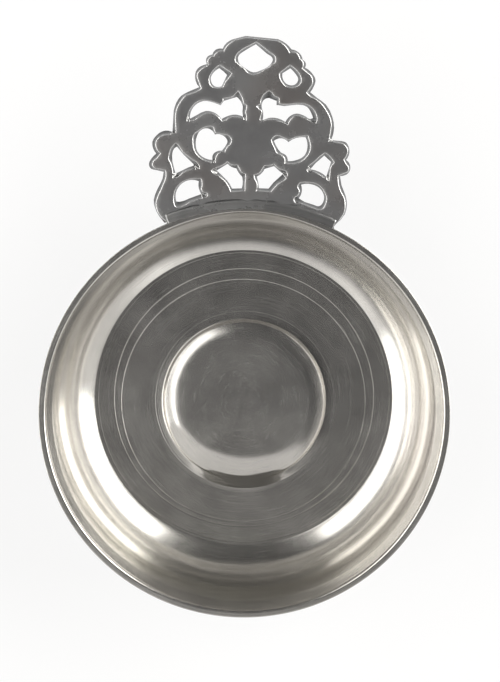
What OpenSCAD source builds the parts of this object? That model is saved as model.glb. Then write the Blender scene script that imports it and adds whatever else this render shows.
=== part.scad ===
// Pewter porringer: a round bellied bowl with a low domed boss in its floor, and one flat pierced
// ear standing out level with the rim, carried by a wedge bracket and soldered on.
// The origin is on the bowl's axis in the plane that the foot rests on, +Z is up and the ear
// points along +Y.

/* [Bowl] */
// Outside diameter of the lip
rim_d = 136.4; // [130:0.2:146]
// Height from the table to the top of the lip
bowl_h = 48; // [44:0.5:54]
// Thickness of the cast and skimmed wall
wall = 1.6; // [1.3:0.1:2.2]
// Distance from the lip's outer edge in to the neck, where the wall is drawn in
neck_in = 4.5; // [3.6:0.1:5.6]
// Depth of the neck below the top of the lip
neck_depth = 8; // [6:0.5:11]
// Inside radius of the bend at the neck
neck_bend = 3; // [2.8:0.1:4]
// Distance from the lip's outer edge in to the widest part of the belly, inside
belly_in = 3.2; // [2.4:0.1:4]
// Inside radius of the belly's curve down to the floor
belly_bend = 20.2; // [18:0.2:22]
// Distance from the lip's outer edge in to the crease round the floor, where the belly starts
floor_in = 16.5; // [14:0.5:19]
// Width of the flat top of the lip
lip_w = 2.2; // [1.6:0.1:2.8]
// Height of the lip's outer edge
lip_t = 2.2; // [1.4:0.1:2.8]

/* [Boss] */
// Diameter at which the boss rises out of the floor
boss_d = 65; // [60:1:70]
// Height of the boss above the floor, at the middle of its dome
boss_h = 4.5; // [4:0.1:6]
// Rise of the boss's top from its shoulder to its middle
boss_crown = 0.25; // [0.1:0.05:0.6]
// Radius of the boss's shoulder
boss_round = 3; // [2.6:0.1:4]
// Radius of the hollow at the foot of the boss
boss_fillet = 5.5; // [4.5:0.1:6.5]

/* [Ear] */
// Reach of the ear beyond the lip
ear_len = 56.4; // [50:0.2:62]
// Width of the ear over its side beads
ear_w = 66.2; // [60:0.2:72]
// Thickness of the ear
ear_t = 2.8; // [2.4:0.1:3.6]
// Depth of the ear's top face below the top of the lip
ear_drop = 0.3; // [0.1:0.1:0.8]

/* [Bracket] */
// Width of the bracket under the ear
bracket_w = 26; // [20:1:28]
// Height of the bracket down the wall
bracket_h = 21; // [14:1:23]
// Reach of the bracket out under the ear
bracket_reach = 4.6; // [3.6:0.1:5]
// Width of the bracket at its lower end
toe_w = 5; // [3:0.5:8]
// Thickness of the bracket at its lower end
toe_t = 0.8; // [0.5:0.1:1.4]
// Hollow of the bracket's sloping face
bracket_sag = 1.4; // [0:0.1:2]

/* [Solder] */
// Thickness of the solder in the joints
solder_t = 0.4; // [0.3:0.05:0.6]
// Width of the soldered joint along the lip
seam_w = 55; // [48:0.5:56]

/* [Hidden] */
$fn = 180;

rim_r = rim_d / 2;
lip_under = bowl_h - lip_t;
ear_top = bowl_h - ear_drop;
ear_under = ear_top - ear_t;
ear_seat_r = rim_r + solder_t;
bracket_foot = ear_under - bracket_h;
// Angle between neighbouring points on the turned curves, and their distance where it is less
turn_step = 5;
long_step = 5;
// Turn between neighbouring points on the ear's curves
cut_turn = 12;

// Points on an arc about c from angle a to angle b
function arc(c, r, a, b) =
    let (n = ceil(max(2, abs(b - a) / turn_step, r * abs(b - a) * PI / 180 / long_step)))
    [for (i = [0:n]) c + r * [cos(a + (b - a) * i / n), sin(a + (b - a) * i / n)]];

// Centres of the turned curves, as radius and height
belly_c = [rim_r - belly_in - belly_bend,
    wall + sqrt(pow(belly_bend, 2) - pow(belly_bend + belly_in - floor_in, 2))];
neck_c = [rim_r - neck_in + neck_bend, bowl_h - neck_depth];

// Slope of the boss's side where the hollow at its foot meets the shoulder
boss_slope = acos(1 - (boss_h - boss_crown) / (boss_round + boss_fillet));
fillet_c = [boss_d / 2, wall + boss_fillet];
shoulder_c = fillet_c - (boss_round + boss_fillet) * [sin(boss_slope), cos(boss_slope)];

// Radius of the boss's domed top, which runs smoothly into the shoulder
boss_top = wall + boss_h;
dome_r = (pow(shoulder_c[0], 2) + pow(boss_top - shoulder_c[1], 2) - pow(boss_round, 2))
    / 2 / (boss_top - shoulder_c[1] - boss_round);
dome_c = [0, boss_top - dome_r];
dome_a = atan2(shoulder_c[1] - dome_c[1], shoulder_c[0]);

// Angle at which the belly's curve runs straight on to the neck
belly_top_a = let (d = neck_c - belly_c)
    atan2(d[1], d[0]) - acos((belly_bend + neck_bend) / norm(d));
// Angle at which the neck's bend runs straight on to the lip's inner edge
collar_a = let (d = [rim_r - lip_w, bowl_h] - neck_c)
    atan2(d[1], d[0]) + acos(neck_bend / norm(d));

// Boss and floor at depth t below the inside surface, from the axis outwards
function base_skin(t) = concat(
    arc(dome_c, dome_r - t, 90, dome_a),
    arc(shoulder_c, boss_round - t, dome_a, 90 - boss_slope),
    arc(fillet_c, boss_fillet + t, 270 - boss_slope, 270));

// Side wall at depth t behind the inside surface, from the floor up to height top
function side_skin(t, top) =
    let (
        start = -asin((belly_c[1] - wall + t) / (belly_bend + t)),
        bend = arc(neck_c, neck_bend - t, 180 + belly_top_a, collar_a),
        last = bend[len(bend) - 1],
        rise = top - last[1])
    concat(
        arc(belly_c, belly_bend + t, start, belly_top_a),
        bend,
        [last + [rise * tan(180 - collar_a), rise]]);

// Radius of the side wall's outer face, or of a layer t thick on it, at height z
function side_r(z, t = 0) =
    lookup(z, [for (p = side_skin(wall + t, lip_under)) [p[1], p[0]]]);

// The stretch of that face from height a up to height b
function side_stretch(a, b, t = 0) = concat(
    [[side_r(a, t), a]],
    [for (p = side_skin(wall + t, lip_under)) if (p[1] > a && p[1] < b) p],
    [[side_r(b, t), b]]);

function backwards(p) = [for (i = [len(p) - 1:-1:0]) p[i]];

// Points along a hollow curve from a to b, drawn in by sag at its middle
function hollow(a, b, sag, n = 8) =
    let (side = [b[1] - a[1], a[0] - b[0]] / norm(b - a))
    [for (i = [0:n]) let (s = i / n) a + (b - a) * s + side * sag * 4 * s * (1 - s)];

// Smooth closed outlines: a point is [x, y], and a corner is [x, y, 1]
function spot(p, i) = let (q = p[(i + len(p)) % len(p)]) [q[0], q[1]];
function corner(p, i) = len(p[(i + len(p)) % len(p)]) == 3;
function unit(v) = v / norm(v);

// Direction of the circle through three neighbouring points at the middle one
function heading(p, i) =
    let (d = spot(p, i) - spot(p, i - 1), e = spot(p, i + 1) - spot(p, i))
    unit(unit(d) * norm(e) + unit(e) * norm(d));

function blend(a, ta, b, tb, s) =
    a * (1 - s) * (1 - s) * (1 + 2 * s) + b * s * s * (3 - 2 * s)
    + ta * s * (1 - s) * (1 - s) - tb * s * s * (1 - s);

function turn(a, b) = acos(min(1, a * b / norm(a) / norm(b)));

// Curve from point i to the next, straight where both are corners
function run(p, i) =
    let (
        a = spot(p, i), b = spot(p, i + 1), l = norm(b - a), chord = (b - a) / l,
        ca = corner(p, i), cb = corner(p, i + 1),
        ta = !ca ? heading(p, i) : cb ? chord : 2 * chord - heading(p, i + 1),
        tb = !cb ? heading(p, i + 1) : ca ? chord : 2 * chord - heading(p, i),
        n = ca && cb ? 1 : max(1, ceil((turn(ta, chord) + turn(chord, tb)) / cut_turn)))
    [for (k = [0:n - 1]) blend(a, ta * l, b, tb * l, k / n)];

function smooth(p) = [for (i = [0:len(p) - 1]) each run(p, i)];

// Ear outline, x across and y out from the lip, clockwise from where the left side meets the bowl
ear_outline = [
    // Left scroll and its two beads
    [-26.5, -7, 1], [-29.9, -3.8], [-31.7, -0.2], [-32, 1.7], [-31, 5.1], [-29.3, 8.9],
    [-29, 11.1, 1], [-31, 11.5], [-33.5, 12.3], [-33.9, 13.6], [-33.1, 15.4],
    [-31.6, 17, 1], [-32.9, 19.4], [-33, 20.8], [-31.7, 23], [-29.5, 24.5], [-26.5, 24.3, 1],
    // Left shoulder, lobe and small beads
    [-26.4, 27.8], [-26.3, 31.2], [-24, 36.2], [-21.3, 37.8],
    [-18.2, 39.2, 1], [-19.6, 42.1], [-19.2, 44.8], [-17.2, 46.4],
    [-15.8, 46.8, 1], [-16.2, 48.4], [-14.2, 50, 1], [-13.4, 51.4], [-10.9, 52, 1],
    // Crest
    [-9.7, 53.9], [-7.9, 55.1], [-5.6, 55.8], [-3.5, 56.4, 1], [7.1, 55.7, 1], [9.8, 54.3],
    [11.6, 52.5, 1],
    // Right small beads, lobe and shoulder
    [13.7, 51.8], [15.4, 49.2, 1], [16.4, 48.1], [16.2, 46.7, 1],
    [18.5, 45], [19.8, 42.5], [19.4, 40.9], [18.2, 38.7, 1],
    [20.3, 37.1], [23.5, 34.8], [25.7, 30.9], [26.4, 27.3], [25.6, 23.3, 1],
    // Right scroll and its two beads
    [28, 23.1], [30.2, 22.8], [31.7, 20.1], [30.7, 16.9, 1], [32.1, 15.1], [32.1, 13.6],
    [28.9, 11.5, 1], [29.5, 8.5], [31, 5], [31.5, 2.1], [30.9, -1], [28.1, -4.5], [26, -7, 1]];

// Openings of the ear, each clockwise
ear_openings = [
    // Diamond at the top, by which the bowl is hung
    [[-0.1, 53.8, 1], [1.2, 52.8], [3.4, 51], [5.6, 49.1], [4.8, 47.3], [2.1, 45.5],
        [-0.6, 44.6], [-3.1, 45.7], [-5.4, 47.5], [-5.8, 49.4], [-3.5, 51.7], [-1.6, 52.9]],
    // Buds beside the diamond
    [[-11.8, 45.6, 1], [-10.4, 44.6], [-9.2, 43.5, 1], [-10.8, 39.8, 1], [-13.4, 39.8],
        [-14.5, 42.1], [-13, 44.8]],
    [[11.4, 46.3, 1], [12.8, 45], [14.1, 42.5], [13.3, 41.2], [10.7, 41], [8.9, 43.4],
        [8.9, 44.6, 1]],
    // Long leaves above the centre
    [[-20.9, 28.8, 1], [-20.9, 30], [-19.4, 33.2], [-16.7, 34.7], [-13.3, 34.3],
        [-11, 33.5, 1], [-9.9, 35, 1], [-7.2, 35.9], [-5.8, 36.4, 1], [-4.2, 34.6],
        [-3.7, 33.2, 1], [-3.8, 31.8], [-3.5, 30, 1], [-6.7, 30.6], [-9.2, 29.8],
        [-10.6, 29, 1], [-12.9, 31], [-15.8, 31.5], [-18.8, 30]],
    [[4.8, 36.4, 1], [7.3, 35.5, 1], [7.3, 34.2, 1], [9.8, 33.9], [13.9, 34.5], [17.3, 33.9],
        [18.9, 31.6], [19.4, 30.4, 1], [18.6, 30], [16.6, 30.9], [13.9, 31.6], [11.6, 30.5],
        [10.4, 28.7, 1], [8.9, 29.5], [5.7, 30], [2.9, 29, 1], [3, 31.6], [2.4, 33.6], [3.2, 35.8]],
    // Heart shapes left and right of the centre
    [[-17.6, 24.8, 1], [-15.1, 25.8], [-13.6, 25.2], [-12.6, 23.9, 1], [-9.7, 23.5],
        [-8.4, 21.8], [-9, 20.2], [-10.1, 18.7, 1], [-11.7, 18.4], [-12.8, 17.6],
        [-13.1, 15.5, 1], [-15.6, 16], [-18.1, 18], [-18.8, 21], [-18.3, 23.6]],
    [[6.8, 22.4, 1], [9.1, 23.3], [11.6, 22.2, 1], [13.9, 23.5], [17.2, 23.9, 1], [17.9, 21.2],
        [16.9, 17.8], [13.9, 16.2], [11.6, 15.9, 1], [10.8, 17.9], [9.2, 18.7], [7.6, 20.8]],
    // Points at the outer edge
    [[-24.9, 19.5, 1], [-22.6, 16.9], [-18.9, 13.6, 1], [-21, 12.8], [-24, 11.2],
        [-25.1, 10.7, 1], [-25.7, 12.6], [-26.4, 16.4], [-25.8, 18.8]],
    [[23.5, 18.1, 1], [25.8, 16.1, 1], [24.9, 13], [24.4, 11.2, 1], [22.1, 12.7],
        [19.1, 13.5, 1], [20.7, 15.5]],
    // Large scrolls at the base
    [[-24.6, 1.5, 1], [-24.9, 3.3], [-23.5, 6.9], [-21, 8.5], [-17.4, 8.4, 1], [-17.3, 6],
        [-16.4, 4.2, 1], [-20.4, 2.6], [-23.5, 1.4]],
    [[16.2, 8.3, 1], [19.8, 8.5], [22.8, 6.9], [23.9, 3.7], [22.3, 1.4], [20.6, 1.8],
        [17.5, 2.7], [15.6, 3.8, 1], [16.5, 5.8]],
    // Tulips left and right of the stem
    [[-11.6, 12.1, 1], [-8.1, 14.4, 1], [-6.8, 13.4], [-5.2, 13, 1], [-4.4, 11.6],
        [-3.2, 10.3, 1], [-3, 7.6], [-3.2, 6.5, 1], [-6.4, 6.3, 1], [-8.1, 8.9], [-10.4, 11]],
    [[1.6, 10.5, 1], [3, 11.5], [4.1, 13.1, 1], [7.1, 14.1, 1], [8.9, 12.6], [10.2, 11.7, 1],
        [7.1, 8.7], [5.6, 6.7, 1], [2.4, 6.7, 1], [2.1, 8.6]]];

drawn_w = max([for (p = ear_outline) p[0]]) - min([for (p = ear_outline) p[0]]);
drawn_len = max([for (p = ear_outline) p[1]]);

// Ear coordinates to millimetres in the bowl's frame
function on_ear(p) =
    [for (q = p) [q[0] * ear_w / drawn_w, rim_r + q[1] * ear_len / drawn_len]];

// Bowl, one casting turned smooth inside and out
module bowl() {
    color("darkgray") rotate_extrude()
        polygon(concat(
            base_skin(0), side_skin(0, bowl_h),
            [[rim_r, bowl_h], [rim_r, lip_under]],
            backwards(side_skin(wall, lip_under)), backwards(base_skin(wall))));
}

// Ear, a flat pierced casting, hollowed at its root to fit round the lip
module ear() {
    color("dimgray") difference() {
        translate([0, 0, ear_under]) linear_extrude(ear_t) difference() {
            polygon(on_ear(smooth(ear_outline)));
            for (hole = ear_openings) polygon(on_ear(smooth(hole)));
        }
        cylinder(r = ear_seat_r, h = bowl_h + ear_t);
    }
}

// Front view of the bracket, as a prism that runs outwards from the bowl's axis
module bracket_front() {
    translate([0, rim_d, 0]) rotate([90, 0, 0]) linear_extrude(rim_d)
        polygon([[-bracket_w / 2, ear_under], [bracket_w / 2, ear_under],
            [toe_w / 2, bracket_foot], [-toe_w / 2, bracket_foot]]);
}

// Bracket, a wedge between the ear's underside and the bowl's wall
module ear_bracket() {
    color("gray") intersection() {
        rotate_extrude() polygon(concat(
            side_stretch(bracket_foot, ear_under, solder_t),
            hollow([ear_seat_r + bracket_reach, ear_under],
                [side_r(bracket_foot, solder_t) + toe_t, bracket_foot], bracket_sag)));
        bracket_front();
    }
}

// Solder between the lip and the ear's root, and behind the bracket
module solder_seam() {
    color("silver") union() {
        intersection() {
            rotate_extrude() polygon([
                [rim_r, ear_top], [rim_r, lip_under], [side_r(lip_under), lip_under],
                [side_r(ear_under), ear_under], [ear_seat_r, ear_under], [ear_seat_r, ear_top]]);
            translate([-seam_w / 2, 0, ear_under]) cube([seam_w, rim_d, ear_t]);
        }
        intersection() {
            rotate_extrude() polygon(concat(
                side_stretch(bracket_foot, ear_under, solder_t),
                backwards(side_stretch(bracket_foot, ear_under))));
            bracket_front();
        }
    }
}

bowl();
ear();
ear_bracket();
solder_seam();
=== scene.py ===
import math

import bmesh
import bpy
import numpy as np
from mathutils import Matrix, Vector, noise
from mathutils.geometry import delaunay_2d_cdt


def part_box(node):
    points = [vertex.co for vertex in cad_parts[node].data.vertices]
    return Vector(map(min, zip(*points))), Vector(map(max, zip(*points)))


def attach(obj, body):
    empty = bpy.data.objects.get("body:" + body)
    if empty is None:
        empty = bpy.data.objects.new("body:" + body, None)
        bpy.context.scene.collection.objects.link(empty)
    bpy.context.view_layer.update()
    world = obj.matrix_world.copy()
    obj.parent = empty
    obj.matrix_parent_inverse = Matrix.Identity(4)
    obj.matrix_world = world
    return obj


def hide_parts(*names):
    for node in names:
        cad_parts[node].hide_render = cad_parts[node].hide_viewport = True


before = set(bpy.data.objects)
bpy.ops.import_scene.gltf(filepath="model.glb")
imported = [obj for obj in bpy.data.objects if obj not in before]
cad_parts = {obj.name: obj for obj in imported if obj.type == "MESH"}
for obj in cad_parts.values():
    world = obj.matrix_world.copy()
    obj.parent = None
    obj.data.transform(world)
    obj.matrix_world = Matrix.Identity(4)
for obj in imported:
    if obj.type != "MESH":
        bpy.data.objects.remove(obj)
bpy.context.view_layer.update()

# Viewpoint: the viewer looks down into the bowl from almost straight above, with the ear away
# from them. The whole pewter bowl fills the upright picture, seen from a little under a metre.
MM = 0.001
rim_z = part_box("bowl")[1].z / MM
rim_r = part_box("bowl")[1].x / MM

view_aim = Vector((1.07, 24.55, rim_z)) * MM
view_distance = 0.9
view_tilt_y = math.radians(5.53)
view_tilt_x = math.radians(-0.55)
view_roll = math.radians(1.84)
view_lens = 143.9


def placed(name, data):
    """A camera or a finished mesh as an object in the scene."""
    made = bpy.data.objects.new(name, data)
    bpy.context.scene.collection.objects.link(made)
    return made


camera_data = bpy.data.cameras.new("studio_camera")
camera_data.lens = view_lens
camera_data.sensor_width = 36
camera_data.clip_start = 0.05
camera_data.clip_end = 30
camera = placed("studio_camera", camera_data)
back = Vector((math.sin(view_tilt_x), math.sin(view_tilt_y), 0))
back.z = math.sqrt(1 - back.length_squared)
upright = (Vector((0, 1, 0)) - back * back.y).normalized()
across = upright.cross(back)
right = across * math.cos(view_roll) + upright * math.sin(view_roll)
up = upright * math.cos(view_roll) - across * math.sin(view_roll)
camera.matrix_world = Matrix((right, up, back)).transposed().to_4x4()
camera.location = view_aim + back * view_distance
bpy.context.scene.camera = camera


# Bowl: one pewter casting, skimmed inside and out on a lathe. A raised boss fills the middle of
# the flat floor, and a fine crease marks where the wall starts. The lip is flat on top, with its
# outer edge only just broken. Two rings are scribed in the floor, the inner one off centre.
wall_t = 1.6
neck_in, neck_depth, neck_bend = 4.1, 8.0, 3.0
belly_in, belly_bend, floor_in = 3.2, 20.2, 16.5
lip_w, lip_t = 2.3, 2.2
lip_inner_round, lip_outer_round = 0.7, 0.18
boss_r, boss_h = 32.5, 3.9
# Slope of the boss in degrees against the distance from its middle, round most of it and in front
boss_sides = [(0, 0), (20, 0.6), (22.8, 2), (24, 6), (25.2, 10), (27.2, 12), (27.6, 16),
              (27.75, 60), (27.85, 76), (28.1, 76), (28.2, 45), (28.35, 9), (29, 3), (30, 2),
              (31, 1), (boss_r, 0)]
boss_front = [(0, 0), (24, 0), (24.3, 40), (26.3, 42), (26.7, 31), (30.5, 31), (30.9, 24),
              (31.2, 2), (boss_r, 0)]
boss_front_turn, boss_front_width = 270, 30
boss_shift, boss_blend = Vector((0.2, -0.7)), (32.5, 38.0)
# Wear of the boss: level within worn_reach of the middle worn_from, beyond it a slope in degrees
# that is steeper by worn_lean towards worn_turn
worn_from, worn_reach, worn_ease, worn_off = Vector((0.4, 5.2)), 24.2, 3.0, 0.05
worn_slope, worn_lean, worn_turn, worn_soft = 14.0, 1.0, 185, 0.08
outer_ring, inner_ring, crease_line = 45.1, 42.4, 50.6
# Lines scribed in the floor and round the boss: radius, and depth as a share of ring_depth
scribed_lines = [(outer_ring, 1), (inner_ring, 1), (31.0, 0.6), (30.2, 0.25), (crease_line, 0.6)]
ring_inner_w, ring_outer_w, ring_depth = 0.08, 0.22, 0.033
ring_margin, ring_shoulder, ring_point = 0.1, 0.08, 0.02
ring_shift, ring_shift_width = Vector((-0.2, -1.0)), 1.6
lip_pull, lip_pull_width = 1.1, 17.0
# Unevenness of the wall: size and height of broad and fine dents, and where they fade out
broad_dents, fine_dents = (24, 0.10), (9, 0.03)
dents_from_floor, dents_from_lip = (3, 9), (2, 4)
outer_fade_rows = (-4, 6)
turns = 400
cad_slack = 0.02


def arc(c, r, a, b, step=3.0):
    """Points (radius, height) on an arc about c from angle a to angle b, in degrees."""
    n = max(2, math.ceil(abs(b - a) / step))
    angles = [math.radians(a + (b - a) * i / n) for i in range(n + 1)]
    return [(c[0] + r * math.cos(t), c[1] + r * math.sin(t)) for t in angles]


def spaced(points, step):
    """The same open outline with points added so that no stretch is longer than step."""
    out = [points[0]]
    for a, b in zip(points, points[1:]):
        n = max(1, math.ceil(math.dist(a, b) / step))
        out += [(a[0] + (b[0] - a[0]) * i / n, a[1] + (b[1] - a[1]) * i / n)
                for i in range(1, n + 1)]
    return out


belly_c = (rim_r - belly_in - belly_bend,
           wall_t + math.sqrt(belly_bend ** 2 - (belly_bend + belly_in - floor_in) ** 2))
neck_c = (rim_r - neck_in + neck_bend, rim_z - neck_depth)
to_neck = (neck_c[0] - belly_c[0], neck_c[1] - belly_c[1])
belly_top_a = math.degrees(math.atan2(to_neck[1], to_neck[0])
                           - math.acos((belly_bend + neck_bend) / math.hypot(*to_neck)))
to_lip = (rim_r - lip_w - neck_c[0], neck_depth)
collar_a = math.degrees(math.atan2(to_lip[1], to_lip[0])
                        + math.acos(neck_bend / math.hypot(*to_lip)))


def boss_profile(slopes):
    """Distances from the boss's middle, with its height and slope at each."""
    reach = np.linspace(0, boss_r, 401)
    tangent = np.tan(np.radians(np.interp(reach, *zip(*slopes))))
    fall = np.concatenate([[0], np.cumsum((tangent[1:] + tangent[:-1]) / 2 * reach[1])])
    scale = boss_h / fall[-1]
    return reach, wall_t + boss_h - fall * scale, np.arctan(tangent * scale)


def base_skin(t):
    """Boss from the axis out to its foot, at depth t below the inside surface."""
    points = [(r - t * math.sin(a), z - t * math.cos(a))
              for r, z, a in zip(*boss_profile(boss_sides))]
    fine_from, fine_step, wide_step = 26, 0.02, 0.9
    kept = [points[0]]
    for p in points[1:]:
        step = fine_step if p[0] > fine_from else wide_step
        if p[0] > kept[-1][0] + step:
            kept.append(p)
    return kept


boss_top = wall_t + boss_h
front_reach, front_height, _ = boss_profile(boss_front)
side_reach, side_height, _ = boss_profile(boss_sides)


def side_skin(t, start, top):
    """Wall from angle start on the belly up to height top, at depth t behind the inside."""
    bend = arc(neck_c, neck_bend - t, 180 + belly_top_a, collar_a)
    last = bend[-1]
    rise = top - last[1]
    return (arc(belly_c, belly_bend + t, start, belly_top_a) + bend
            + [(last[0] + rise * math.tan(math.radians(180 - collar_a)), top)])


def scribed(outline, r, depth):
    """The outline with one scribed line cut at radius r, steep on its inner side."""
    low, high = r - ring_inner_w - ring_margin, r + ring_outer_w + ring_margin
    before = [p for p in outline if p[0] < low]
    after = [p for p in outline if p[0] > high]
    cut = [(low, 0), (low + ring_shoulder, 0), (r - ring_point, -depth),
           (r + 2 * ring_point, -depth * 0.9), (r + ring_outer_w * 0.6, -depth * 0.3),
           (high - ring_shoulder, 0), (high, 0)]
    heights = np.interp([x for x, _ in cut], [p[0] for p in outline], [p[1] for p in outline])
    return before + [(x, float(z) + dip) for (x, dip), z in zip(cut, heights)] + after


# The section: floor and boss, wall, lip, then back down the outside and under the floor
inside_step, outside_step, lip_step, lip_turn_step = 1.0, 1.5, 0.3, 15
# Points close together keep the crease at the start of the wall sharp
crease_before, crease_rise, crease_after = (0.25, 0.1), 0.005, (0.4, 2.6, 0.8)
crease_r = rim_r - floor_in
belly_start = math.degrees(math.asin((wall_t - belly_c[1]) / belly_bend))
floor_line = [(r, wall_t) for r in (boss_r + 0.1, *(crease_r - w for w in crease_before))]
floor_part = spaced(base_skin(0) + floor_line, inside_step)
for radius, share in scribed_lines:
    floor_part = scribed(floor_part, radius, ring_depth * share)
wall_from, wall_to, wall_step = crease_after
crease = ([(crease_r, wall_t + crease_rise)]
          + arc(belly_c, belly_bend, belly_start + wall_from, belly_start + wall_to, wall_step))
wall_skin = side_skin(0, belly_start, rim_z - lip_inner_round)
inside = floor_part + crease + spaced(wall_skin[1:], inside_step)
inner_c = (rim_r - lip_w + lip_inner_round, rim_z - lip_inner_round)
outer_c = (rim_r - lip_outer_round, rim_z - lip_outer_round)
lower_c = (rim_r - lip_outer_round, rim_z - lip_t + lip_outer_round)
lip = spaced(arc(inner_c, lip_inner_round, collar_a, 90, lip_turn_step)
             + arc(outer_c, lip_outer_round, 90, 0, lip_turn_step)
             + arc(lower_c, lip_outer_round, 0, -90, lip_turn_step), lip_step)
foot_start = math.degrees(math.asin(-belly_c[1] / (belly_bend + wall_t)))
outside = spaced(side_skin(wall_t, foot_start, rim_z - lip_t), outside_step)
under = spaced(base_skin(wall_t), outside_step)
foot_line = spaced([outside[0], under[-1]], outside_step)[1:-1]
section = inside + lip + outside[::-1] + foot_line + under[::-1]


def hand_wobble(p, size, amount):
    """Gentle unevenness left by hand work, for a point in millimetres."""
    return noise.noise(Vector(p) / size) * amount


def turned_mesh(name, points, count):
    """A closed round mesh turned from a section that starts and ends on the axis."""
    rows = points[1:-1]
    verts = [(0, 0, points[0][1])]
    for r, z in rows:
        for k in range(count):
            a = 2 * math.pi * k / count
            verts.append((r * math.cos(a), r * math.sin(a), z))
    verts.append((0, 0, points[-1][1]))
    faces = [(0, 1 + k, 1 + (k + 1) % count) for k in range(count)]
    for i in range(len(rows) - 1):
        a, b = 1 + i * count, 1 + (i + 1) * count
        faces += [(a + k, b + k, b + (k + 1) % count, a + (k + 1) % count) for k in range(count)]
    a, end = 1 + (len(rows) - 1) * count, len(verts) - 1
    faces += [(a + (k + 1) % count, a + k, end) for k in range(count)]
    mesh = bpy.data.meshes.new(name)
    mesh.from_pydata(verts, [], faces)
    return mesh


def worn_height(x, y, z):
    """The boss's inside surface, worn down towards the front and left by years of spooning."""
    r = math.hypot(x, y)
    from_front = (math.degrees(math.atan2(y, x)) - boss_front_turn + 180) % 360 - 180
    in_front = math.exp(-(from_front / boss_front_width) ** 4)
    z += in_front * float(np.interp(r, front_reach, front_height)
                          - np.interp(r, side_reach, side_height))
    beyond = max(0, (Vector((x, y)) - worn_from).length - worn_reach)
    eased_in = min(beyond, worn_ease) ** 2 / 2 / worn_ease + max(0, beyond - worn_ease)
    around = math.atan2(y - worn_from.y, x - worn_from.x)
    slope = worn_slope + worn_lean * math.cos(around - math.radians(worn_turn))
    worn = boss_top - worn_off - eased_in * math.tan(math.radians(slope))
    share = max(0, min(1, 0.5 + (worn - z) / 2 / worn_soft))
    return worn * (1 - share) + z * share - worn_soft * share * (1 - share)


def eased(value, start, end):
    """Smooth fade from 0 at start to 1 at end."""
    s = max(0, min(1, (value - start) / (end - start)))
    return s * s * (3 - 2 * s)


bowl_mesh = turned_mesh("turned_bowl", section, turns)
near_floor = wall_t + 0.5
for v in bowl_mesh.vertices:
    x, y, z = v.co
    r = math.hypot(x, y)
    row = (v.index - 1) // turns
    is_inside = row < len(inside)
    if is_inside and r < boss_r:
        z = worn_height(x, y, z)
    if r < 1e-6:
        v.co = (boss_shift.x, boss_shift.y, z)
        continue
    radial = Vector((x / r, y / r, 0))
    in_floor = is_inside and z < near_floor
    near_ring = math.exp(-((r - inner_ring) / ring_shift_width) ** 4) if in_floor else 0
    from_ear = math.degrees(math.atan2(x, y))
    at_lip = eased(z, rim_z - neck_depth, rim_z)
    inner_side = max(0, min(1, (rim_r - r) / lip_w))
    pull = lip_pull * math.exp(-(from_ear / lip_pull_width) ** 2) * at_lip * inner_side
    wobble = hand_wobble((x, y, z), *broad_dents) + hand_wobble((y, z, x), *fine_dents)
    wobble *= eased(z, *dents_from_floor) * eased(rim_z - z, *dents_from_lip)
    moved = ring_shift * near_ring + boss_shift * (1 - eased(r, *boss_blend)) * (z < boss_top + 1)
    v.co = Vector((x, y, z)) + radial * (pull + wobble - cad_slack) + Vector((moved.x, moved.y, 0))
outer_side = bowl_mesh.color_attributes.new("outer_side", "FLOAT_COLOR", "POINT")
lip_end_row = len(inside) + len(lip) // 2
for v in bowl_mesh.vertices:
    share = eased((v.index - 1) // turns - lip_end_row, *outer_fade_rows)
    outer_side.data[v.index].color = (share, share, share, 1)
bowl_mesh.transform(Matrix.Scale(MM, 4))
for face in bowl_mesh.polygons:
    face.use_smooth = True
bowl = placed("turned_bowl", bowl_mesh)


# Each noise of the metal is written as scale, detail and roughness, and its relief in metres
cloud_noise, cloud_depth = (60.0, 6.0, 0.65), 0.00002
patch_noise, patch_depth = (16.0, 3.0, 0.5), 0.00012
marks_noise, marks_depth = (1.0, 5.0, 0.7), 0.00001
tint_detail, tint_rough = 2.0, 0.5
# Stretch of a noise over which it changes the colour, adds a tint, and changes the sheen
colour_range, tint_range, sheen_range = (0.35, 0.65), (0.48, 0.72), (0.3, 0.7)
sheen_spread, dull_spread = (-0.03, 0.04), 0.28
lathe_stretch = (1500, 2.2, 2.2)
tarnish, tarnish_share, tarnish_dulling = (0.24, 0.235, 0.22), 0.6, 0.35


def node(tree, kind, feeds=None, **values):
    """One shader node, with the outputs that feed it and its other settings by name."""
    made = tree.nodes.new(kind)
    for key, value in values.items():
        if hasattr(made, key):
            setattr(made, key, value)
        else:
            made.inputs[key.replace("_", " ")].default_value = value
    for socket, output in (feeds or {}).items():
        tree.links.new(output, made.inputs[socket])
    return made


def mixed(tree, share, first, second):
    """Colour that runs from first to second by share. Each may be a colour or another output."""
    blend = node(tree, "ShaderNodeMix", data_type="RGBA")
    for socket, value in ((0, share), (6, first), (7, second)):
        if isinstance(value, (tuple, float)):
            blend.inputs[socket].default_value = (*value, 1) if socket else value
        else:
            tree.links.new(value, blend.inputs[socket])
    return blend.outputs[2]


def ranged(tree, value, low, high, start, end):
    """A value's stretch from low to high, spread over start to end."""
    return node(tree, "ShaderNodeMapRange", {"Value": value}, From_Min=low, From_Max=high,
                To_Min=start, To_Max=end).outputs["Result"]


def noise_at(tree, vector, scale, detail, rough):
    """Soft random clouds between 0 and 1."""
    return node(tree, "ShaderNodeTexNoise", {"Vector": vector}, Scale=scale, Detail=detail,
                Roughness=rough).outputs["Fac"]


def bumped(tree, height, depth, normal=None):
    """Relief of the given depth, laid over an earlier relief if there is one."""
    feeds = {"Height": height}
    if normal is not None:
        feeds["Normal"] = normal
    return node(tree, "ShaderNodeBump", feeds, Strength=1.0, Distance=depth).outputs["Normal"]


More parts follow.
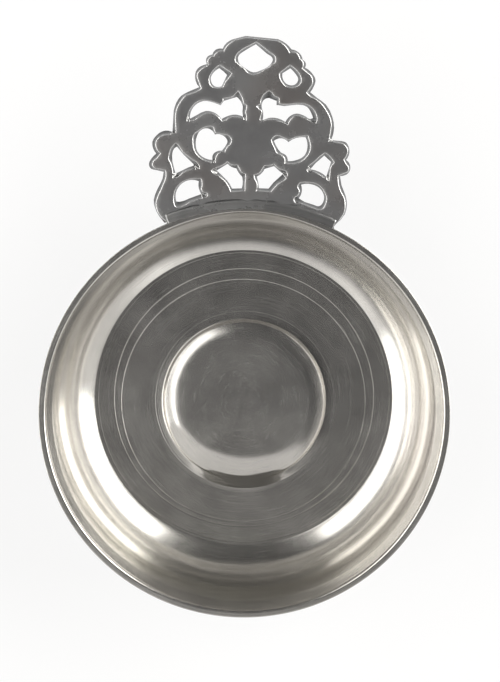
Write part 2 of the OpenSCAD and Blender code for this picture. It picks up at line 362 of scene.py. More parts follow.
def stretched_marks(tree, vector, stretch):
    """Fine marks that run along the directions in which space is stretched least."""
    space = node(tree, "ShaderNodeVectorMath", {0: vector}, operation="MULTIPLY")
    space.inputs[1].default_value = stretch
    return noise_at(tree, space.outputs["Vector"], *marks_noise)


def pewter(name, light, dark, tints, polish, dull, dull_share, streak, finish=None):
    """Old pewter: a polished and a dull sheen side by side, and a colour that drifts between two
    greys with faint tints. Streak makes the fine marks, and finish varies it over the piece."""
    material = bpy.data.materials.new(name)
    material.use_nodes = True
    tree = material.node_tree
    smooth = tree.nodes["Principled BSDF"]
    rough = node(tree, "ShaderNodeBsdfPrincipled")
    place = node(tree, "ShaderNodeTexCoord")
    here = place.outputs["Object"]
    cloud = noise_at(tree, here, *cloud_noise)
    patch = noise_at(tree, here, *patch_noise)
    colour = mixed(tree, ranged(tree, cloud, *colour_range, 0, 1), dark, light)
    for tint, size, amount in tints:
        drift = noise_at(tree, here, size, tint_detail, tint_rough)
        colour = mixed(tree, ranged(tree, drift, *tint_range, 0, amount), colour, tint)
    marks = streak(tree, place)
    sheen = ranged(tree, cloud, *sheen_range, polish + sheen_spread[0], polish + sheen_spread[1])
    dullness = ranged(tree, marks, *sheen_range, dull_share * (1 - dull_spread),
                      dull_share * (1 + dull_spread))
    if finish:
        colour, sheen, dullness = finish(tree, colour, sheen, dullness)
    normal = bumped(tree, marks, marks_depth)
    normal = bumped(tree, cloud, cloud_depth, normal)
    normal = bumped(tree, patch, patch_depth, normal)
    for shader in (smooth, rough):
        shader.inputs["Metallic"].default_value = 1.0
        tree.links.new(colour, shader.inputs["Base Color"])
        tree.links.new(normal, shader.inputs["Normal"])
    tree.links.new(sheen, smooth.inputs["Roughness"])
    rough.inputs["Roughness"].default_value = dull
    both = node(tree, "ShaderNodeMixShader",
                {"Fac": dullness, 1: smooth.outputs["BSDF"], 2: rough.outputs["BSDF"]})
    tree.links.new(both.outputs["Shader"], tree.nodes["Material Output"].inputs["Surface"])
    return material


def round_marks(tree, place):
    """Fine marks that run round with the lathe."""
    split = node(tree, "ShaderNodeSeparateXYZ", {"Vector": place.outputs["Object"]}).outputs
    flat = node(tree, "ShaderNodeCombineXYZ", {"X": split["X"], "Y": split["Y"]}).outputs["Vector"]
    length = node(tree, "ShaderNodeVectorMath", {0: flat}, operation="LENGTH")
    direction = node(tree, "ShaderNodeVectorMath", {0: flat}, operation="NORMALIZE")
    turn = node(tree, "ShaderNodeSeparateXYZ", {"Vector": direction.outputs["Vector"]}).outputs
    reach = node(tree, "ShaderNodeMath", {0: length.outputs["Value"], 1: split["Z"]},
                 operation="ADD")
    unrolled = node(tree, "ShaderNodeCombineXYZ",
                    {"X": reach.outputs["Value"], "Y": turn["X"], "Z": turn["Y"]})
    return stretched_marks(tree, unrolled.outputs["Vector"], lathe_stretch)


def duller_outside(tree, colour, sheen, dullness):
    """The outside of the bowl keeps more tarnish than the inside, which spoons keep bright."""
    share = node(tree, "ShaderNodeAttribute", attribute_name="outer_side").outputs["Fac"]
    colour = mixed(tree, share, colour, mixed(tree, tarnish_share, colour, tarnish))
    duller = node(tree, "ShaderNodeMath", {0: share, 2: dullness}, operation="MULTIPLY_ADD")
    duller.inputs[1].default_value = tarnish_dulling
    return colour, sheen, duller.outputs["Value"]


turned_pewter = pewter("turned_pewter", light=(0.72, 0.705, 0.675), dark=(0.62, 0.605, 0.58),
                       tints=[((0.65, 0.65, 0.56), 9.0, 0.5), ((0.60, 0.56, 0.58), 13.0, 0.4)],
                       polish=0.17, dull=0.43, dull_share=0.215,
                       streak=round_marks, finish=duller_outside)
bowl_mesh.materials.append(turned_pewter)
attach(bowl, "root")
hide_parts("bowl")


# Ear: one flat pewter casting, pierced with a flowered pattern. The mould gave every edge some
# draft, so the bars are narrower on top than underneath. Their sides are painted dark as painted
# shade, and the top edges are rounded and painted bright as a painted highlight. The root is
# scraped level with the lip.
ear_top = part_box("ear")[1].z / MM
ear_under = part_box("ear")[0].z / MM
ear_seat_r, seat_slack = rim_r + 0.4, 0.02
seat_half_w = 27.4
arris_r, foot_round = 0.27, 0.18
least_draft = 0.3
cut_step, sole_step, face_step = 0.3, 2.0, 1.1
scraper_stretch = (500, 1300, 500)
# Painted shade on the drafted sides and a painted highlight on the top edges: their colours
painted_shade_colour, painted_highlight_colour = (0.05, 0.05, 0.05), (0.78, 0.78, 0.78)
cast_dull_share, rubbed_dull_share = 0.55, 0.25

# Outline and openings of the ear's top face, x across and y out from the bowl's axis. A third
# value of 1 marks a corner. The outline runs from the crest down the left side to the root, and
# again from the crest down the right side.
crest = [(6.9, 123.2, 1), (-3.3, 123.9, 1), (-5.4, 123.4)]
ear_left = [
    (-7.9, 122.5), (-9.9, 120.6), (-10.55, 119.2, 1), (-13.05, 118.6), (-13.7, 117.6, 1),
    (-15.55, 116.4), (-15.3, 114.5, 1), (-18.05, 112.9), (-18.9, 111.8), (-18.95, 110.7),
    (-18.4, 109.3), (-17.5, 107, 1), (-19.6, 105.6), (-21.1, 105), (-22.8, 104.3),
    (-23.9, 102.9), (-25, 101), (-25.55, 99.3), (-25.7, 97.1), (-25.55, 94.9), (-25.4, 92.3, 1),
    (-27.6, 91.6), (-30, 91.1), (-31.4, 90), (-31.9, 88.8), (-31.6, 87), (-30.2, 85.4, 1),
    (-31.4, 83.8), (-32.5, 82.7), (-32.8, 81.55), (-32.2, 80.7), (-30.8, 80.4),
    (-28.4, 79.9, 1), (-28.3, 77.7), (-29, 75.4), (-30, 72.9), (-30.8, 71), (-31.25, 68.8),
    (-30.8, 66.8), (-29.4, 64.6)]
ear_right = [
    (9.2, 121.9), (10.6, 120.3), (11, 119.4, 1), (13.5, 119.3), (14.3, 117.7, 1),
    (15.5, 116.5), (15.2, 114.6, 1), (17.05, 113.2), (18.4, 112), (18.8, 110.4), (17.9, 108.2),
    (16.9, 106.8, 1), (18.2, 105.6), (20.1, 104.6), (21.8, 103.4), (23.7, 101), (24.8, 99.05),
    (25.4, 96.8), (25.25, 94.6), (24.7, 91.1, 1), (27.6, 90.7), (30.1, 90), (31.1, 88.5),
    (30.9, 87.1), (29.9, 85.3, 1), (30.8, 83.8), (31.6, 82.7), (31.4, 81.55), (30.1, 80.8),
    (28.2, 80, 1), (28.3, 78.4), (28.7, 76.3), (29.55, 74.3), (30.5, 72.7), (30.9, 70.2),
    (30.7, 68.2), (29.55, 66), (28.6, 64.6)]
openings = [
    # Diamond at the top
    [(-0.1, 122.8, 1), (1.6, 121.7), (4, 119.9), (6.4, 117.9), (6.4, 116.3), (5.1, 115.3),
     (3.2, 114.05), (1.5, 112.7), (-0.4, 112), (-2.2, 112.4), (-3.6, 113.8), (-5.8, 115.4),
     (-6.65, 116.2), (-6.65, 117.8), (-4.4, 120.3), (-1.7, 121.8)],
    # Buds beside the diamond
    [(-11.7, 114.9, 1), (-9.8, 113.7), (-7.65, 112.25, 1), (-8.9, 110.4), (-9.7, 109.3),
     (-10.3, 107.8, 1), (-13.75, 107.5), (-14.6, 108.2), (-15.1, 110.2), (-13.7, 113.2)],
    [(11.2, 115.6, 1), (13.6, 113.8), (15, 111.55), (15.1, 110.4), (14.55, 109.3), (13.7, 108.6),
     (10.1, 108.6), (9.3, 109.3), (8.3, 110.7), (7.9, 112.9, 1)],
    # Long leaves above the centre
    [(-21.95, 96, 1), (-21.7, 98.2), (-21.1, 99.9), (-19.4, 102.2), (-17.2, 103.3),
     (-15.55, 103.2), (-11.9, 101.9, 1), (-10.4, 102.9), (-10.4, 104, 1), (-7.5, 104.6, 1),
     (-6.65, 105.3), (-5.5, 106.7, 1), (-4.6, 105.4), (-3.9, 104.1), (-3.6, 102.7, 1),
     (-2.5, 102, 1), (-2.5, 101), (-2.8, 99.9), (-2.45, 98.4), (-2.5, 97, 1), (-5, 97.9),
     (-8.05, 97.7), (-9.4, 96.8), (-10.3, 96.4, 1), (-12.2, 98.2), (-15.2, 98.9),
     (-18.05, 97.7), (-19.6, 96.6)],
    [(2.5, 105), (4.7, 107, 1), (5.7, 106.3), (6.4, 105.4, 1), (8, 104.75, 1), (8.2, 102.9, 1),
     (10.9, 102.8), (14, 103.2), (17.3, 102.9), (19, 101.8), (20.25, 100), (20.7, 98.2),
     (20.3, 96.8, 1), (18.8, 97.3), (17.05, 98.2), (15.1, 98.9), (13.2, 98.8), (11.8, 97.4),
     (11.2, 96, 1), (9.2, 96.8), (5.8, 97.5), (1.8, 96.5, 1), (2.2, 98.8), (2.5, 100.2),
     (1.5, 101), (0.7, 101.8, 1), (2.05, 102.7, 1), (2.1, 103.9)],
    # Heart shapes left and right of the centre
    [(-18.3, 93, 1), (-16.7, 94.2), (-15, 94.75), (-13.3, 94.6), (-12.8, 93.5), (-12.4, 92.7, 1),
     (-10, 92.4), (-7.9, 91.8), (-7.1, 90.6), (-7.4, 89.3), (-8.6, 87.9), (-9.2, 86.4, 1),
     (-11.2, 86), (-12, 84.8), (-12.2, 83, 1), (-15.55, 83.4), (-16.7, 84.05), (-18.6, 85.7),
     (-19.4, 87.4), (-19.7, 89.05), (-19.4, 92.1)],
    [(5.9, 91, 1), (6.8, 92.1), (7.9, 92.5), (9.55, 92), (11.6, 91.2, 1), (12.6, 91.55),
     (13.7, 92.1), (15.7, 92.5), (17.9, 92.8, 1), (18.5, 91), (18.9, 89.3), (18.6, 87.4),
     (17.6, 85.7), (15.7, 84.05), (10.5, 83.4, 1), (10.3, 85.3), (9.3, 86.1), (7.9, 86.8),
     (7.1, 88.3), (6.3, 89.9)],
    # Points at the outer edge
    [(-25.3, 89, 1), (-24.5, 88.3), (-22.8, 86), (-20.55, 84.3), (-18.3, 82.8), (-17.4, 81.7, 1),
     (-17.4, 80.6, 1), (-20, 80.3), (-22.5, 79.4), (-24.4, 77.9), (-26.05, 77.4, 1),
     (-26.25, 80.4), (-26.9, 82.4), (-27.6, 83.7), (-27.5, 85), (-26.9, 87.1)],
    [(23.6, 87.3, 1), (24.7, 86.7), (26.1, 85.3), (26.8, 84.2, 1), (25.8, 82.7), (25.5, 80.4),
     (25.3, 78.1, 1), (22.9, 79.6), (20.4, 80.8), (18.1, 81.1), (18.3, 82.7, 1), (20.4, 84.5),
     (22.05, 86.1)],
    # Large scrolls at the base
    [(-16.7, 77.5, 1), (-16.3, 75.4), (-16.5, 74.05), (-15.8, 73.1), (-14.7, 72.9),
     (-14.4, 72.1), (-15.8, 71.3), (-18.3, 70.4), (-20.3, 69.6), (-21.9, 68.6), (-24.7, 68),
     (-25.4, 69.3), (-25.55, 71.55), (-25, 73.8), (-23.9, 75.4), (-21.9, 76.8), (-20, 77.4)],
    [(15.7, 77.2, 1), (18.4, 77.5), (20.9, 77.1), (22.9, 75.9), (24, 74.3), (24.7, 72.7),
     (24.4, 70.4), (23.7, 69.05), (22.75, 68.5), (20.9, 68.9), (18.4, 69.75), (16.2, 70.4),
     (14.3, 70.9), (14, 72.1), (15, 72.9), (15.7, 74.3), (15.1, 76)],
    # Tulips left and right of the stem
    [(-8.3, 83.4, 1), (-6.9, 82.5), (-5, 82.4, 1), (-4.3, 81.4), (-3.7, 80.3), (-2.2, 79.5, 1),
     (-2.1, 77.9), (-2.2, 76.55), (-2.2, 74, 1), (-3.3, 73.8), (-6.8, 73.5, 1), (-7.2, 74.4),
     (-8.3, 76.3), (-10.8, 78.5), (-12.8, 79.5), (-13.5, 80.2, 1), (-13.05, 80.7), (-10, 82.1)],
    [(7.05, 83.2, 1), (9, 81.55), (11.2, 80.7), (11.6, 79.7, 1), (11.2, 78.6), (8.4, 76.4),
     (6.6, 74.3), (6.2, 73.8, 1), (2.9, 74), (1.4, 74, 1), (1.6, 76.8), (0.8, 78.2),
     (0.7, 79.4, 1), (2.6, 80.3), (3.3, 81.55), (4, 82.5, 1), (5.6, 82.6)]]


def outline_loops(cad):
    """The closed outlines of a flat CAD plate, read from the edge of its top face."""
    plate = bmesh.new()
    plate.from_mesh(cad.data)
    bmesh.ops.remove_doubles(plate, verts=plate.verts, dist=1e-6)
    top = max(v.co.z for v in plate.verts)
    lid = {f for f in plate.faces if f.normal.z > 0.99 and f.calc_center_median().z > top - 1e-5}
    follow = {}
    for f in lid:
        for loop in f.loops:
            if any(other not in lid for other in loop.edge.link_faces):
                follow[loop.vert.index] = loop.link_loop_next.vert.index
    plate.verts.ensure_lookup_table()
    loops = []
    while follow:
        ring = []
        here = min(follow)
        while here in follow:
            ring.append(np.array(plate.verts[here].co[:2]) / MM)
            here = follow.pop(here)
        loops.append(ring)
    plate.free()
    return sorted(loops, key=len, reverse=True)


def unit(v):
    """The direction of a vector."""
    return v / np.linalg.norm(v)


def flowing(outline, step):
    """Smooth closed curve through an outline with marked corners, as points about step apart."""
    ring = [np.array(p[:2], float) for p in outline]
    sharp = [len(p) == 3 for p in outline]
    n = len(ring)
    heading = []
    for i in range(n):
        d, e = ring[i] - ring[i - 1], ring[(i + 1) % n] - ring[i]
        heading.append(unit(unit(d) * np.linalg.norm(e) + unit(e) * np.linalg.norm(d)))
    out = []
    for i in range(n):
        j = (i + 1) % n
        a, b = ring[i], ring[j]
        span = np.linalg.norm(b - a)
        chord = (b - a) / span
        ta = heading[i] if not sharp[i] else chord if sharp[j] else 2 * chord - heading[j]
        tb = heading[j] if not sharp[j] else chord if sharp[i] else 2 * chord - heading[i]
        count = max(1, round(span / step))
        for k in range(count):
            s = k / count
            out.append(a * (1 - s) ** 2 * (1 + 2 * s) + b * s * s * (3 - 2 * s)
                       + ta * span * s * (1 - s) ** 2 - tb * span * s * s * (1 - s))
    return out


def stepped(ring, step):
    """The same closed ring with points added so that they are no more than step apart."""
    out = []
    for a, b in zip(ring, ring[1:] + ring[:1]):
        count = max(1, math.ceil(np.linalg.norm(b - a) / step))
        out += [a + (b - a) * k / count for k in range(count)]
    return out


def at_seat(p):
    """Whether a point lies on the hollow that fits round the lip."""
    return math.hypot(p[0], p[1]) < ear_seat_r + seat_slack


def inset(ring, amount):
    """The ring moved sideways into the metal on its left, but not where it meets the lip."""
    n = len(ring)
    moved = []
    for i in range(n):
        d, e = unit(ring[i] - ring[i - 1]), unit(ring[(i + 1) % n] - ring[i])
        left_d, left_e = np.array([-d[1], d[0]]), np.array([-e[1], e[0]])
        middle = left_d + left_e
        middle /= max(np.dot(middle, left_d), 0.5)
        moved.append(ring[i] if at_seat(ring[i]) else ring[i] + middle * amount)
    most_rounds = 12
    for _ in range(most_rounds):
        bad = [i for i in range(n)
               if np.dot(moved[(i + 1) % n] - moved[i], ring[(i + 1) % n] - ring[i]) < 0]
        for i in bad:
            moved[i] = moved[(i + 1) % n] = (moved[i] + moved[(i + 1) % n]) / 2
    return moved


def kept_inside(ring, border, margin):
    """The ring with each point moved where needed to lie at least margin into the metal."""
    a = np.array(border)
    b = np.roll(a, -1, axis=0)
    along = b - a
    left = np.stack([-along[:, 1], along[:, 0]], 1) / np.linalg.norm(along, axis=1)[:, None]
    out = []
    for p in ring:
        s = np.clip(np.sum((p - a) * along, 1) / np.sum(along * along, 1), 0, 1)
        off = p - (a + along * s[:, None])
        gap = np.linalg.norm(off, axis=1)
        i = int(gap.argmin())
        depth = gap[i] if np.dot(off[i], left[i]) > 0 else -gap[i]
        if depth < margin and not at_seat(p):
            away = off[i] / depth if abs(depth) > 0.05 else left[i]
            p = p + away * (margin - depth)
        out.append(p)
    return out


def inside_rings(points, rings):
    """Whether each point lies in the metal, inside an odd number of rings."""
    x, y = points[:, 0], points[:, 1]
    count = np.zeros(len(points), int)
    for ring in rings:
        for (x0, y0), (x1, y1) in zip(ring, ring[1:] + ring[:1]):
            crosses = np.nonzero((y0 > y) != (y1 > y))[0]
            if len(crosses):
                at = x0 + (y[crosses] - y0) * (x1 - x0) / (y1 - y0)
                count[crosses[at > x[crosses]]] += 1
    return count % 2 == 1


def triangles(rings, inner_points=()):
    """Triangles between all the points, with the input points that each corner stands for."""
    points, edges = [], []
    for ring in rings:
        first = len(points)
        points += [Vector(p) for p in ring]
        edges += [(first + i, first + (i + 1) % len(ring)) for i in range(len(ring))]
    points += [Vector(p) for p in inner_points]
    verts, _, faces, origin, _, _ = delaunay_2d_cdt(points, edges, [], 0, 1e-5)
    centres = np.array([(verts[a] + verts[b] + verts[c])[:] for a, b, c in faces]) / 3
    return verts, faces, origin, centres


def flat_fill(bm, rings, ring_verts, z, spacing, face_up):
    """Fills the metal inside the rings at height z, with inner points spaced out across it."""
    edge_points = np.array([p for ring in rings for p in ring])
    known = [v for ring in ring_verts for v in ring]
    low, high = edge_points.min(0), edge_points.max(0)
    grid = np.array([(x, y) for y in np.arange(low[1], high[1], spacing)
                     for x in np.arange(low[0], high[0], spacing)])
    grid = grid[inside_rings(grid, rings)]
    gap = np.array([np.min(np.sum((edge_points - g) ** 2, axis=1)) for g in grid])
    grid = grid[gap > (0.6 * spacing) ** 2]
    verts, faces, origin, centres = triangles(rings, grid)
    solid = inside_rings(centres, rings)
    made = []
    for v, source in zip(verts, origin):
        is_known = source and min(source) < len(known)
        made.append(known[min(source)] if is_known else bm.verts.new((v[0], v[1], z)))
    for face, inside_metal in zip(faces, solid):
        corners = [made[i] for i in (face if face_up else face[::-1])]
        if inside_metal and len(set(corners)) == 3 and not bm.faces.get(corners):
            bm.faces.new(corners)


def stacked(bm, rings, section):
    """Rings of vertices moved in and up by each step of a section, joined by walls."""
    levels = []
    for depth, height in section:
        level = [inset(ring, depth) if abs(depth) > 1e-6 else ring for ring in rings]
        levels.append([[bm.verts.new((p[0], p[1], height)) for p in ring] for ring in level])
    for low, high in zip(levels, levels[1:]):
        for a, b in zip(low, high):
            for i in range(len(a)):
                j = (i + 1) % len(a)
                bm.faces.new((a[i], a[j], b[j], b[i]))
    return levels


sole_rings = [stepped(ring, cut_step) for ring in outline_loops(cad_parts["ear"])]
seat = sorted((p for p in sole_rings[0] if at_seat(p) and abs(p[0]) < seat_half_w),
              key=lambda p: p[0])
rim_outline = [(*p, 1) for p in seat] + ear_right[::-1] + crest + ear_left
face_rings = [flowing(outline, cut_step) for outline in [rim_outline] + openings]
centre_of = [np.mean(ring, axis=0) for ring in sole_rings]
for i, ring in enumerate(face_rings):
    nearest = min(range(len(sole_rings)),
                  key=lambda k: np.linalg.norm(centre_of[k] - np.mean(ring, axis=0)) if i else k)
    face_rings[i] = kept_inside(ring, sole_rings[nearest], least_draft)

ear_bm = bmesh.new()
sole_section = [(foot_round * (1 - math.sin(a)), ear_under + foot_round * (1 - math.cos(a)))
                for a in map(math.radians, (0, 30, 60, 90))]
sole_levels = stacked(ear_bm, sole_rings, sole_section)
arris_section = [(arris_r * (0.5 - math.cos(a)), ear_top - arris_r * (1 - math.sin(a)))
                 for a in map(math.radians, (0, 22, 45, 68, 90))]
arris_levels = stacked(ear_bm, face_rings, arris_section)
outer_rings, top_rings, foot_rings = (
    [[np.array(v.co[:2]) for v in ring] for ring in level]
    for level in (arris_levels[0], arris_levels[-1], sole_levels[0]))
flat_fill(ear_bm, foot_rings, sole_levels[0], ear_under, sole_step, False)
flat_fill(ear_bm, top_rings, arris_levels[-1], ear_top, face_step, True)

# Drafted sides between the foot and the rounded top edge
band_verts = [v for ring in sole_levels[-1] + arris_levels[0] for v in ring]
verts, faces, origin, centres = triangles(sole_rings + outer_rings)
in_band = inside_rings(centres, sole_rings) & ~inside_rings(centres, outer_rings)
corner = {}
for i, source in enumerate(origin):
    near = [k for k in source if k < len(band_verts)]
    if near:
        corner[i] = band_verts[max(near)]
    else:
        corner[i] = ear_bm.verts.new((*verts[i], (ear_under + ear_top) / 2))
for face, keep in zip(faces, in_band):
    if keep:
        ear_bm.faces.new([corner[i] for i in face])

# Flat end against the lip
lip_end = [v for v in arris_levels[0][0] if at_seat(np.array(v.co[:2]))]
below = {(round(v.co.x, 3), round(v.co.y, 3)): v for v in sole_levels[-1][0]}
for a, b in zip(lip_end, lip_end[1:]):
    pair = [below.get((round(v.co.x, 3), round(v.co.y, 3))) for v in (a, b)]
    if all(pair):
        ear_bm.faces.new((pair[0], pair[1], b, a))

# Painted shade on the sides and a painted highlight on the top edges: how much of each a point has
shade_and_highlight_of = {}
for level, painted_shade, painted_highlight in zip(arris_levels, (1, 0.2, 0, 0, 0), (0.3, 1, 1, 1, 0.1)):
    shade_and_highlight_of.update({v: (painted_shade, painted_highlight) for ring in level for v in ring})
for level in sole_levels:
    shade_and_highlight_of.update({v: (1, 0) for ring in level for v in ring})
ear_bm.verts.index_update()
shade_and_highlight_values = [shade_and_highlight_of.get(v, (0, 0)) for v in ear_bm.verts]
bmesh.ops.recalc_face_normals(ear_bm, faces=ear_bm.faces)
ear_mesh = bpy.data.meshes.new("pierced_ear")
ear_bm.to_mesh(ear_mesh)
ear_bm.free()
# Finish holds each point's share of painted shade in red and of painted highlight in green
finish = ear_mesh.color_attributes.new("finish", "FLOAT_COLOR", "POINT")
for i, (painted_shade, painted_highlight) in enumerate(shade_and_highlight_values):
    finish.data[i].color = (painted_shade, painted_highlight, 0, 1)
ear_mesh.transform(Matrix.Scale(MM, 4))
for face in ear_mesh.polygons:
    face.use_smooth = True
ear = placed("pierced_ear", ear_mesh)


def scraped_marks(tree, place):
    """Short marks left by a scraper drawn across the face."""
    return stretched_marks(tree, place.outputs["Object"], scraper_stretch)


def painted_edge_light(tree, colour, sheen, dullness):
    """Painted shade on the drafted sides, a painted highlight and less roughness on the top edges.
    """
    where = node(tree, "ShaderNodeAttribute", attribute_name="finish")
    parts = node(tree, "ShaderNodeSeparateColor", {"Color": where.outputs["Color"]})
    painted_shade, painted_highlight = parts.outputs["Red"], parts.outputs["Green"]
    colour = mixed(tree, painted_highlight, mixed(tree, painted_shade, colour, painted_shade_colour), painted_highlight_colour)
    return colour, sheen, ranged(tree, painted_highlight, 0, 1, cast_dull_share, rubbed_dull_share)


# The ear's metal, with painted shade on its sides and a painted highlight on its top edges
cast_pewter = pewter("cast_pewter", light=(0.345, 0.345, 0.35), dark=(0.285, 0.285, 0.29),
                     tints=[((0.29, 0.245, 0.22), 42.0, 0.35)], polish=0.26, dull=0.45,
                     dull_share=cast_dull_share, streak=scraped_marks, finish=painted_edge_light)
ear_mesh.materials.append(cast_pewter)
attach(ear, "root")
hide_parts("ear")


# Bracket: a small cast wedge under the root of the ear, filed to fit the wall and carrying the
# ear's weight. Its edges are softened by filing.
filed_edge = 0.45
flat_angle, sharp_angle = math.radians(2), math.radians(35)


def softened(name, cad, amount):
    """A copy of a CAD piece with its sharp edges rounded."""
    made = bmesh.new()
    made.from_mesh(cad.data)
    bmesh.ops.remove_doubles(made, verts=made.verts, dist=1e-6)
    bmesh.ops.dissolve_limit(made, angle_limit=flat_angle, verts=made.verts, edges=made.edges)
    sharp = [e for e in made.edges
             if len(e.link_faces) == 2 and e.calc_face_angle() > sharp_angle]
    bmesh.ops.bevel(made, geom=sharp, offset=amount * MM, segments=3, profile=0.5,
                    affect="EDGES", clamp_overlap=True)
    mesh = bpy.data.meshes.new(name)
    made.to_mesh(mesh)
    made.free()
    for face in mesh.polygons:
        face.use_smooth = True
    piece = placed(name, mesh)
    piece.matrix_world = cad.matrix_world
    return piece


plain_cast_pewter = pewter("plain_cast_pewter",
                           light=(0.45, 0.45, 0.455), dark=(0.36, 0.36, 0.365),
                           tints=[((0.42, 0.37, 0.34), 30.0, 0.5)], polish=0.3, dull=0.55,
                           dull_share=0.6, streak=scraped_marks)
bracket = softened("filed_bracket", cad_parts["ear_bracket"], filed_edge)
bracket.data.materials.append(plain_cast_pewter)
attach(bracket, "root")
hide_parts("ear_bracket")


# Solder seam: tin-rich solder drawn into the joints behind the bracket and along the lip. On top
# it was wiped and scraped down so that the lip runs into the ear almost without a step.
solder = pewter("solder", light=(0.41, 0.41, 0.41), dark=(0.33, 0.33, 0.33),
                tints=[((0.4, 0.38, 0.36), 40.0, 0.4)], polish=0.26, dull=0.45, dull_share=0.32,
                streak=round_marks)
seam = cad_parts["solder_seam"]
seam.data.materials.clear()
seam.data.materials.append(solder)

wipe_half_w, wipe_steps = 27.3, 120
wipe_half_turn = math.degrees(math.asin(wipe_half_w / ear_seat_r))
wipe_ripple, below_rim = (3, 0.04), 0.005
# Section of the wiped strip: distance out from the lip's edge, and height
wipe_top = [(-0.55, rim_z - 0.02), (-0.3, rim_z - 0.02), (0, rim_z - 0.03), (0.6, rim_z - 0.08),
            (1.4, rim_z - 0.17), (2.2, ear_top + 0.05), (3.2, ear_top - 0.01)]
wipe_bottom = ear_top - 0.4
wipe_section = wipe_top + [(3.2, wipe_bottom), (-0.2, wipe_bottom)]
verts = []
for i in range(wipe_steps + 1):
    turn = (2 * i / wipe_steps - 1) * wipe_half_turn
    a = math.radians(90 + turn)
    for out, z in wipe_section:
        x, y = (rim_r + out) * math.cos(a), (rim_r + out) * math.sin(a)
        dip = hand_wobble((x, y, z), *wipe_ripple) if out > 0 else 0
        verts.append((x, y, min(z + dip, rim_z - below_rim)))
n = len(wipe_section)
faces = [(i * n + k, i * n + (k + 1) % n, (i + 1) * n + (k + 1) % n, (i + 1) * n + k)
         for i in range(wipe_steps) for k in range(n)]
faces += [tuple(range(n))[::-1], tuple(range(wipe_steps * n, wipe_steps * n + n))]
wiped_mesh = bpy.data.meshes.new("wiped_solder")
wiped_mesh.from_pydata(verts, [], faces)
wiped_mesh.transform(Matrix.Scale(MM, 4))
wiped_mesh.materials.append(solder)
for face in wiped_mesh.polygons:
    face.use_smooth = len(face.vertices) == 4
wiped = placed("wiped_solder", wiped_mesh)
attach(wiped, "root")


# Floor and light: a plain pale floor, a tall bright window on each side, weaker walls in front and
# low down, and a dim grey room above, as the satin metal shows them.
floor_half, floor_drop = 4.0, 0.0002
paper_white, paper_glow = (0.86, 0.86, 0.86, 1), 0.8
floor_mesh = bpy.data.meshes.new("studio_floor")
floor_mesh.from_pydata([(x * floor_half, y * floor_half, 0)
                        for x, y in ((-1, -1), (1, -1), (1, 1), (-1, 1))], [], [(0, 1, 2, 3)])
floor = placed("studio_floor", floor_mesh)
floor.location.z = -floor_drop
paper = bpy.data.materials.new("white_paper")
paper.use_nodes = True
tree = paper.node_tree
tree.nodes.clear()
diffuse = node(tree, "ShaderNodeBsdfDiffuse", Color=paper_white)
glow = node(tree, "ShaderNodeEmission", Color=(1, 1, 1, 1), Strength=1.0)
path = node(tree, "ShaderNodeLightPath").outputs
seen = node(tree, "ShaderNodeMath", {0: path["Is Camera Ray"], 1: path["Is Glossy Ray"]},
            operation="MAXIMUM").outputs["Value"]
seen = node(tree, "ShaderNodeMath", {0: seen, 1: path["Is Transmission Ray"]},
            operation="MAXIMUM").outputs["Value"]
share = node(tree, "ShaderNodeMath", {0: seen}, operation="MULTIPLY")
share.inputs[1].default_value = paper_glow
blend = node(tree, "ShaderNodeMixShader", {"Fac": share.outputs["Value"],
                                           1: diffuse.outputs["BSDF"],
                                           2: glow.outputs["Emission"]})
node(tree, "ShaderNodeOutputMaterial", {"Surface": blend.outputs["Shader"]})
floor_mesh.materials.append(paper)


# Bright parts of the room: middle and half width in azimuth from +X towards +Y, lowest and highest
# elevation, all in degrees, then the width of their soft edges, radiance and colour
window_tint, wall_tint, low_tint = (1, 0.985, 0.95), (1, 0.985, 0.96), (1, 0.99, 0.97)
room_lights = {
    "left window": (169, 43, 27, 53, 4, 3.4, window_tint),
    "left window, upper part": (170, 50, 60, 70, 3.5, 3.0, window_tint),
    "right window": (24, 29, 3, 50, 5, 5.6, window_tint),
    "right front": (-38, 26, 8, 52, 8, 0.75, window_tint),
    "left front": (-142, 24, 20, 52, 8, 0.35, window_tint),
    "front wall": (-98, 46, 30, 66, 10, 0.72, wall_tint),
    "front wall, upper part": (-108, 50, 64, 78, 6, 0.56, wall_tint),
    "low walls": (-90, 120, -4, 14, 6, 0.7, low_tint),
}
room_dim = (0.03, 0.03, 0.032)

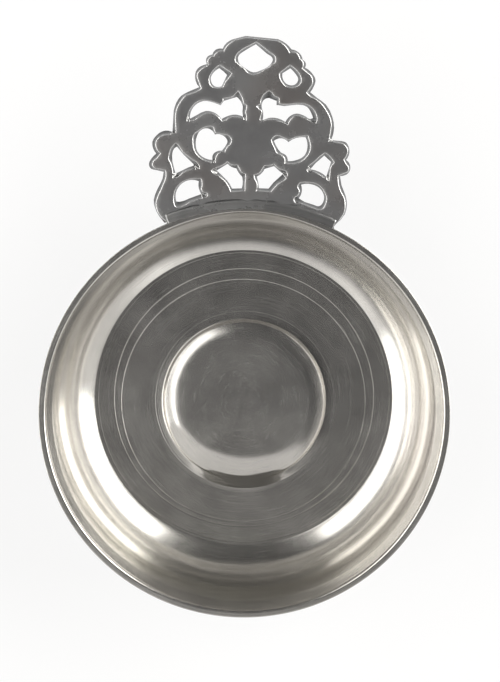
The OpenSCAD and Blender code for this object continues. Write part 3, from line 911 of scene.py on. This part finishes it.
world = bpy.data.worlds.new("studio_room")
bpy.context.scene.world = world
world.use_nodes = True
tree = world.node_tree
sky = node(tree, "ShaderNodeTexCoord").outputs["Generated"]
sky_z = node(tree, "ShaderNodeSeparateXYZ", {"Vector": sky}).outputs["Z"]
level = node(tree, "ShaderNodeVectorMath", {0: sky}, operation="MULTIPLY")
level.inputs[1].default_value = (1, 1, 0)
heading = node(tree, "ShaderNodeVectorMath", {0: level.outputs["Vector"]}, operation="NORMALIZE")


def soft_step(tree, value, start, end):
    """Smooth step of a value from 0 at start to 1 at end."""
    return node(tree, "ShaderNodeMapRange", {"Value": value}, interpolation_type="SMOOTHSTEP",
                From_Min=start, From_Max=end).outputs["Result"]


def multiplied(tree, a, b):
    """The product of two outputs."""
    return node(tree, "ShaderNodeMath", {0: a, 1: b}, operation="MULTIPLY").outputs["Value"]


total = None
for azimuth, half, low, high, edge, radiance, tint in room_lights.values():
    toward = node(tree, "ShaderNodeVectorMath", {0: heading.outputs["Vector"]},
                  operation="DOT_PRODUCT")
    a = math.radians(azimuth)
    toward.inputs[1].default_value = (math.cos(a), math.sin(a), 0)
    sides = [math.cos(math.radians(min(180, half + edge))), math.cos(math.radians(half - edge))]
    floor_z, low_z, high_z, top_z = (math.sin(math.radians(e))
                                     for e in (low - edge, low + edge, high - edge, high + edge))
    share = soft_step(tree, toward.outputs["Value"], *sides)
    share = multiplied(tree, share, soft_step(tree, sky_z, floor_z, low_z))
    share = multiplied(tree, share, soft_step(tree, sky_z, top_z, high_z))
    glow = node(tree, "ShaderNodeVectorMath", {"Scale": share}, operation="SCALE")
    glow.inputs[0].default_value = [c * radiance for c in tint]
    added = node(tree, "ShaderNodeVectorMath", {0: glow.outputs["Vector"]}, operation="ADD")
    if total is None:
        added.inputs[1].default_value = room_dim
    else:
        tree.links.new(total, added.inputs[1])
    total = added.outputs["Vector"]
tree.links.new(total, tree.nodes["Background"].inputs["Color"])

bpy.context.scene.view_settings.view_transform = "Standard"
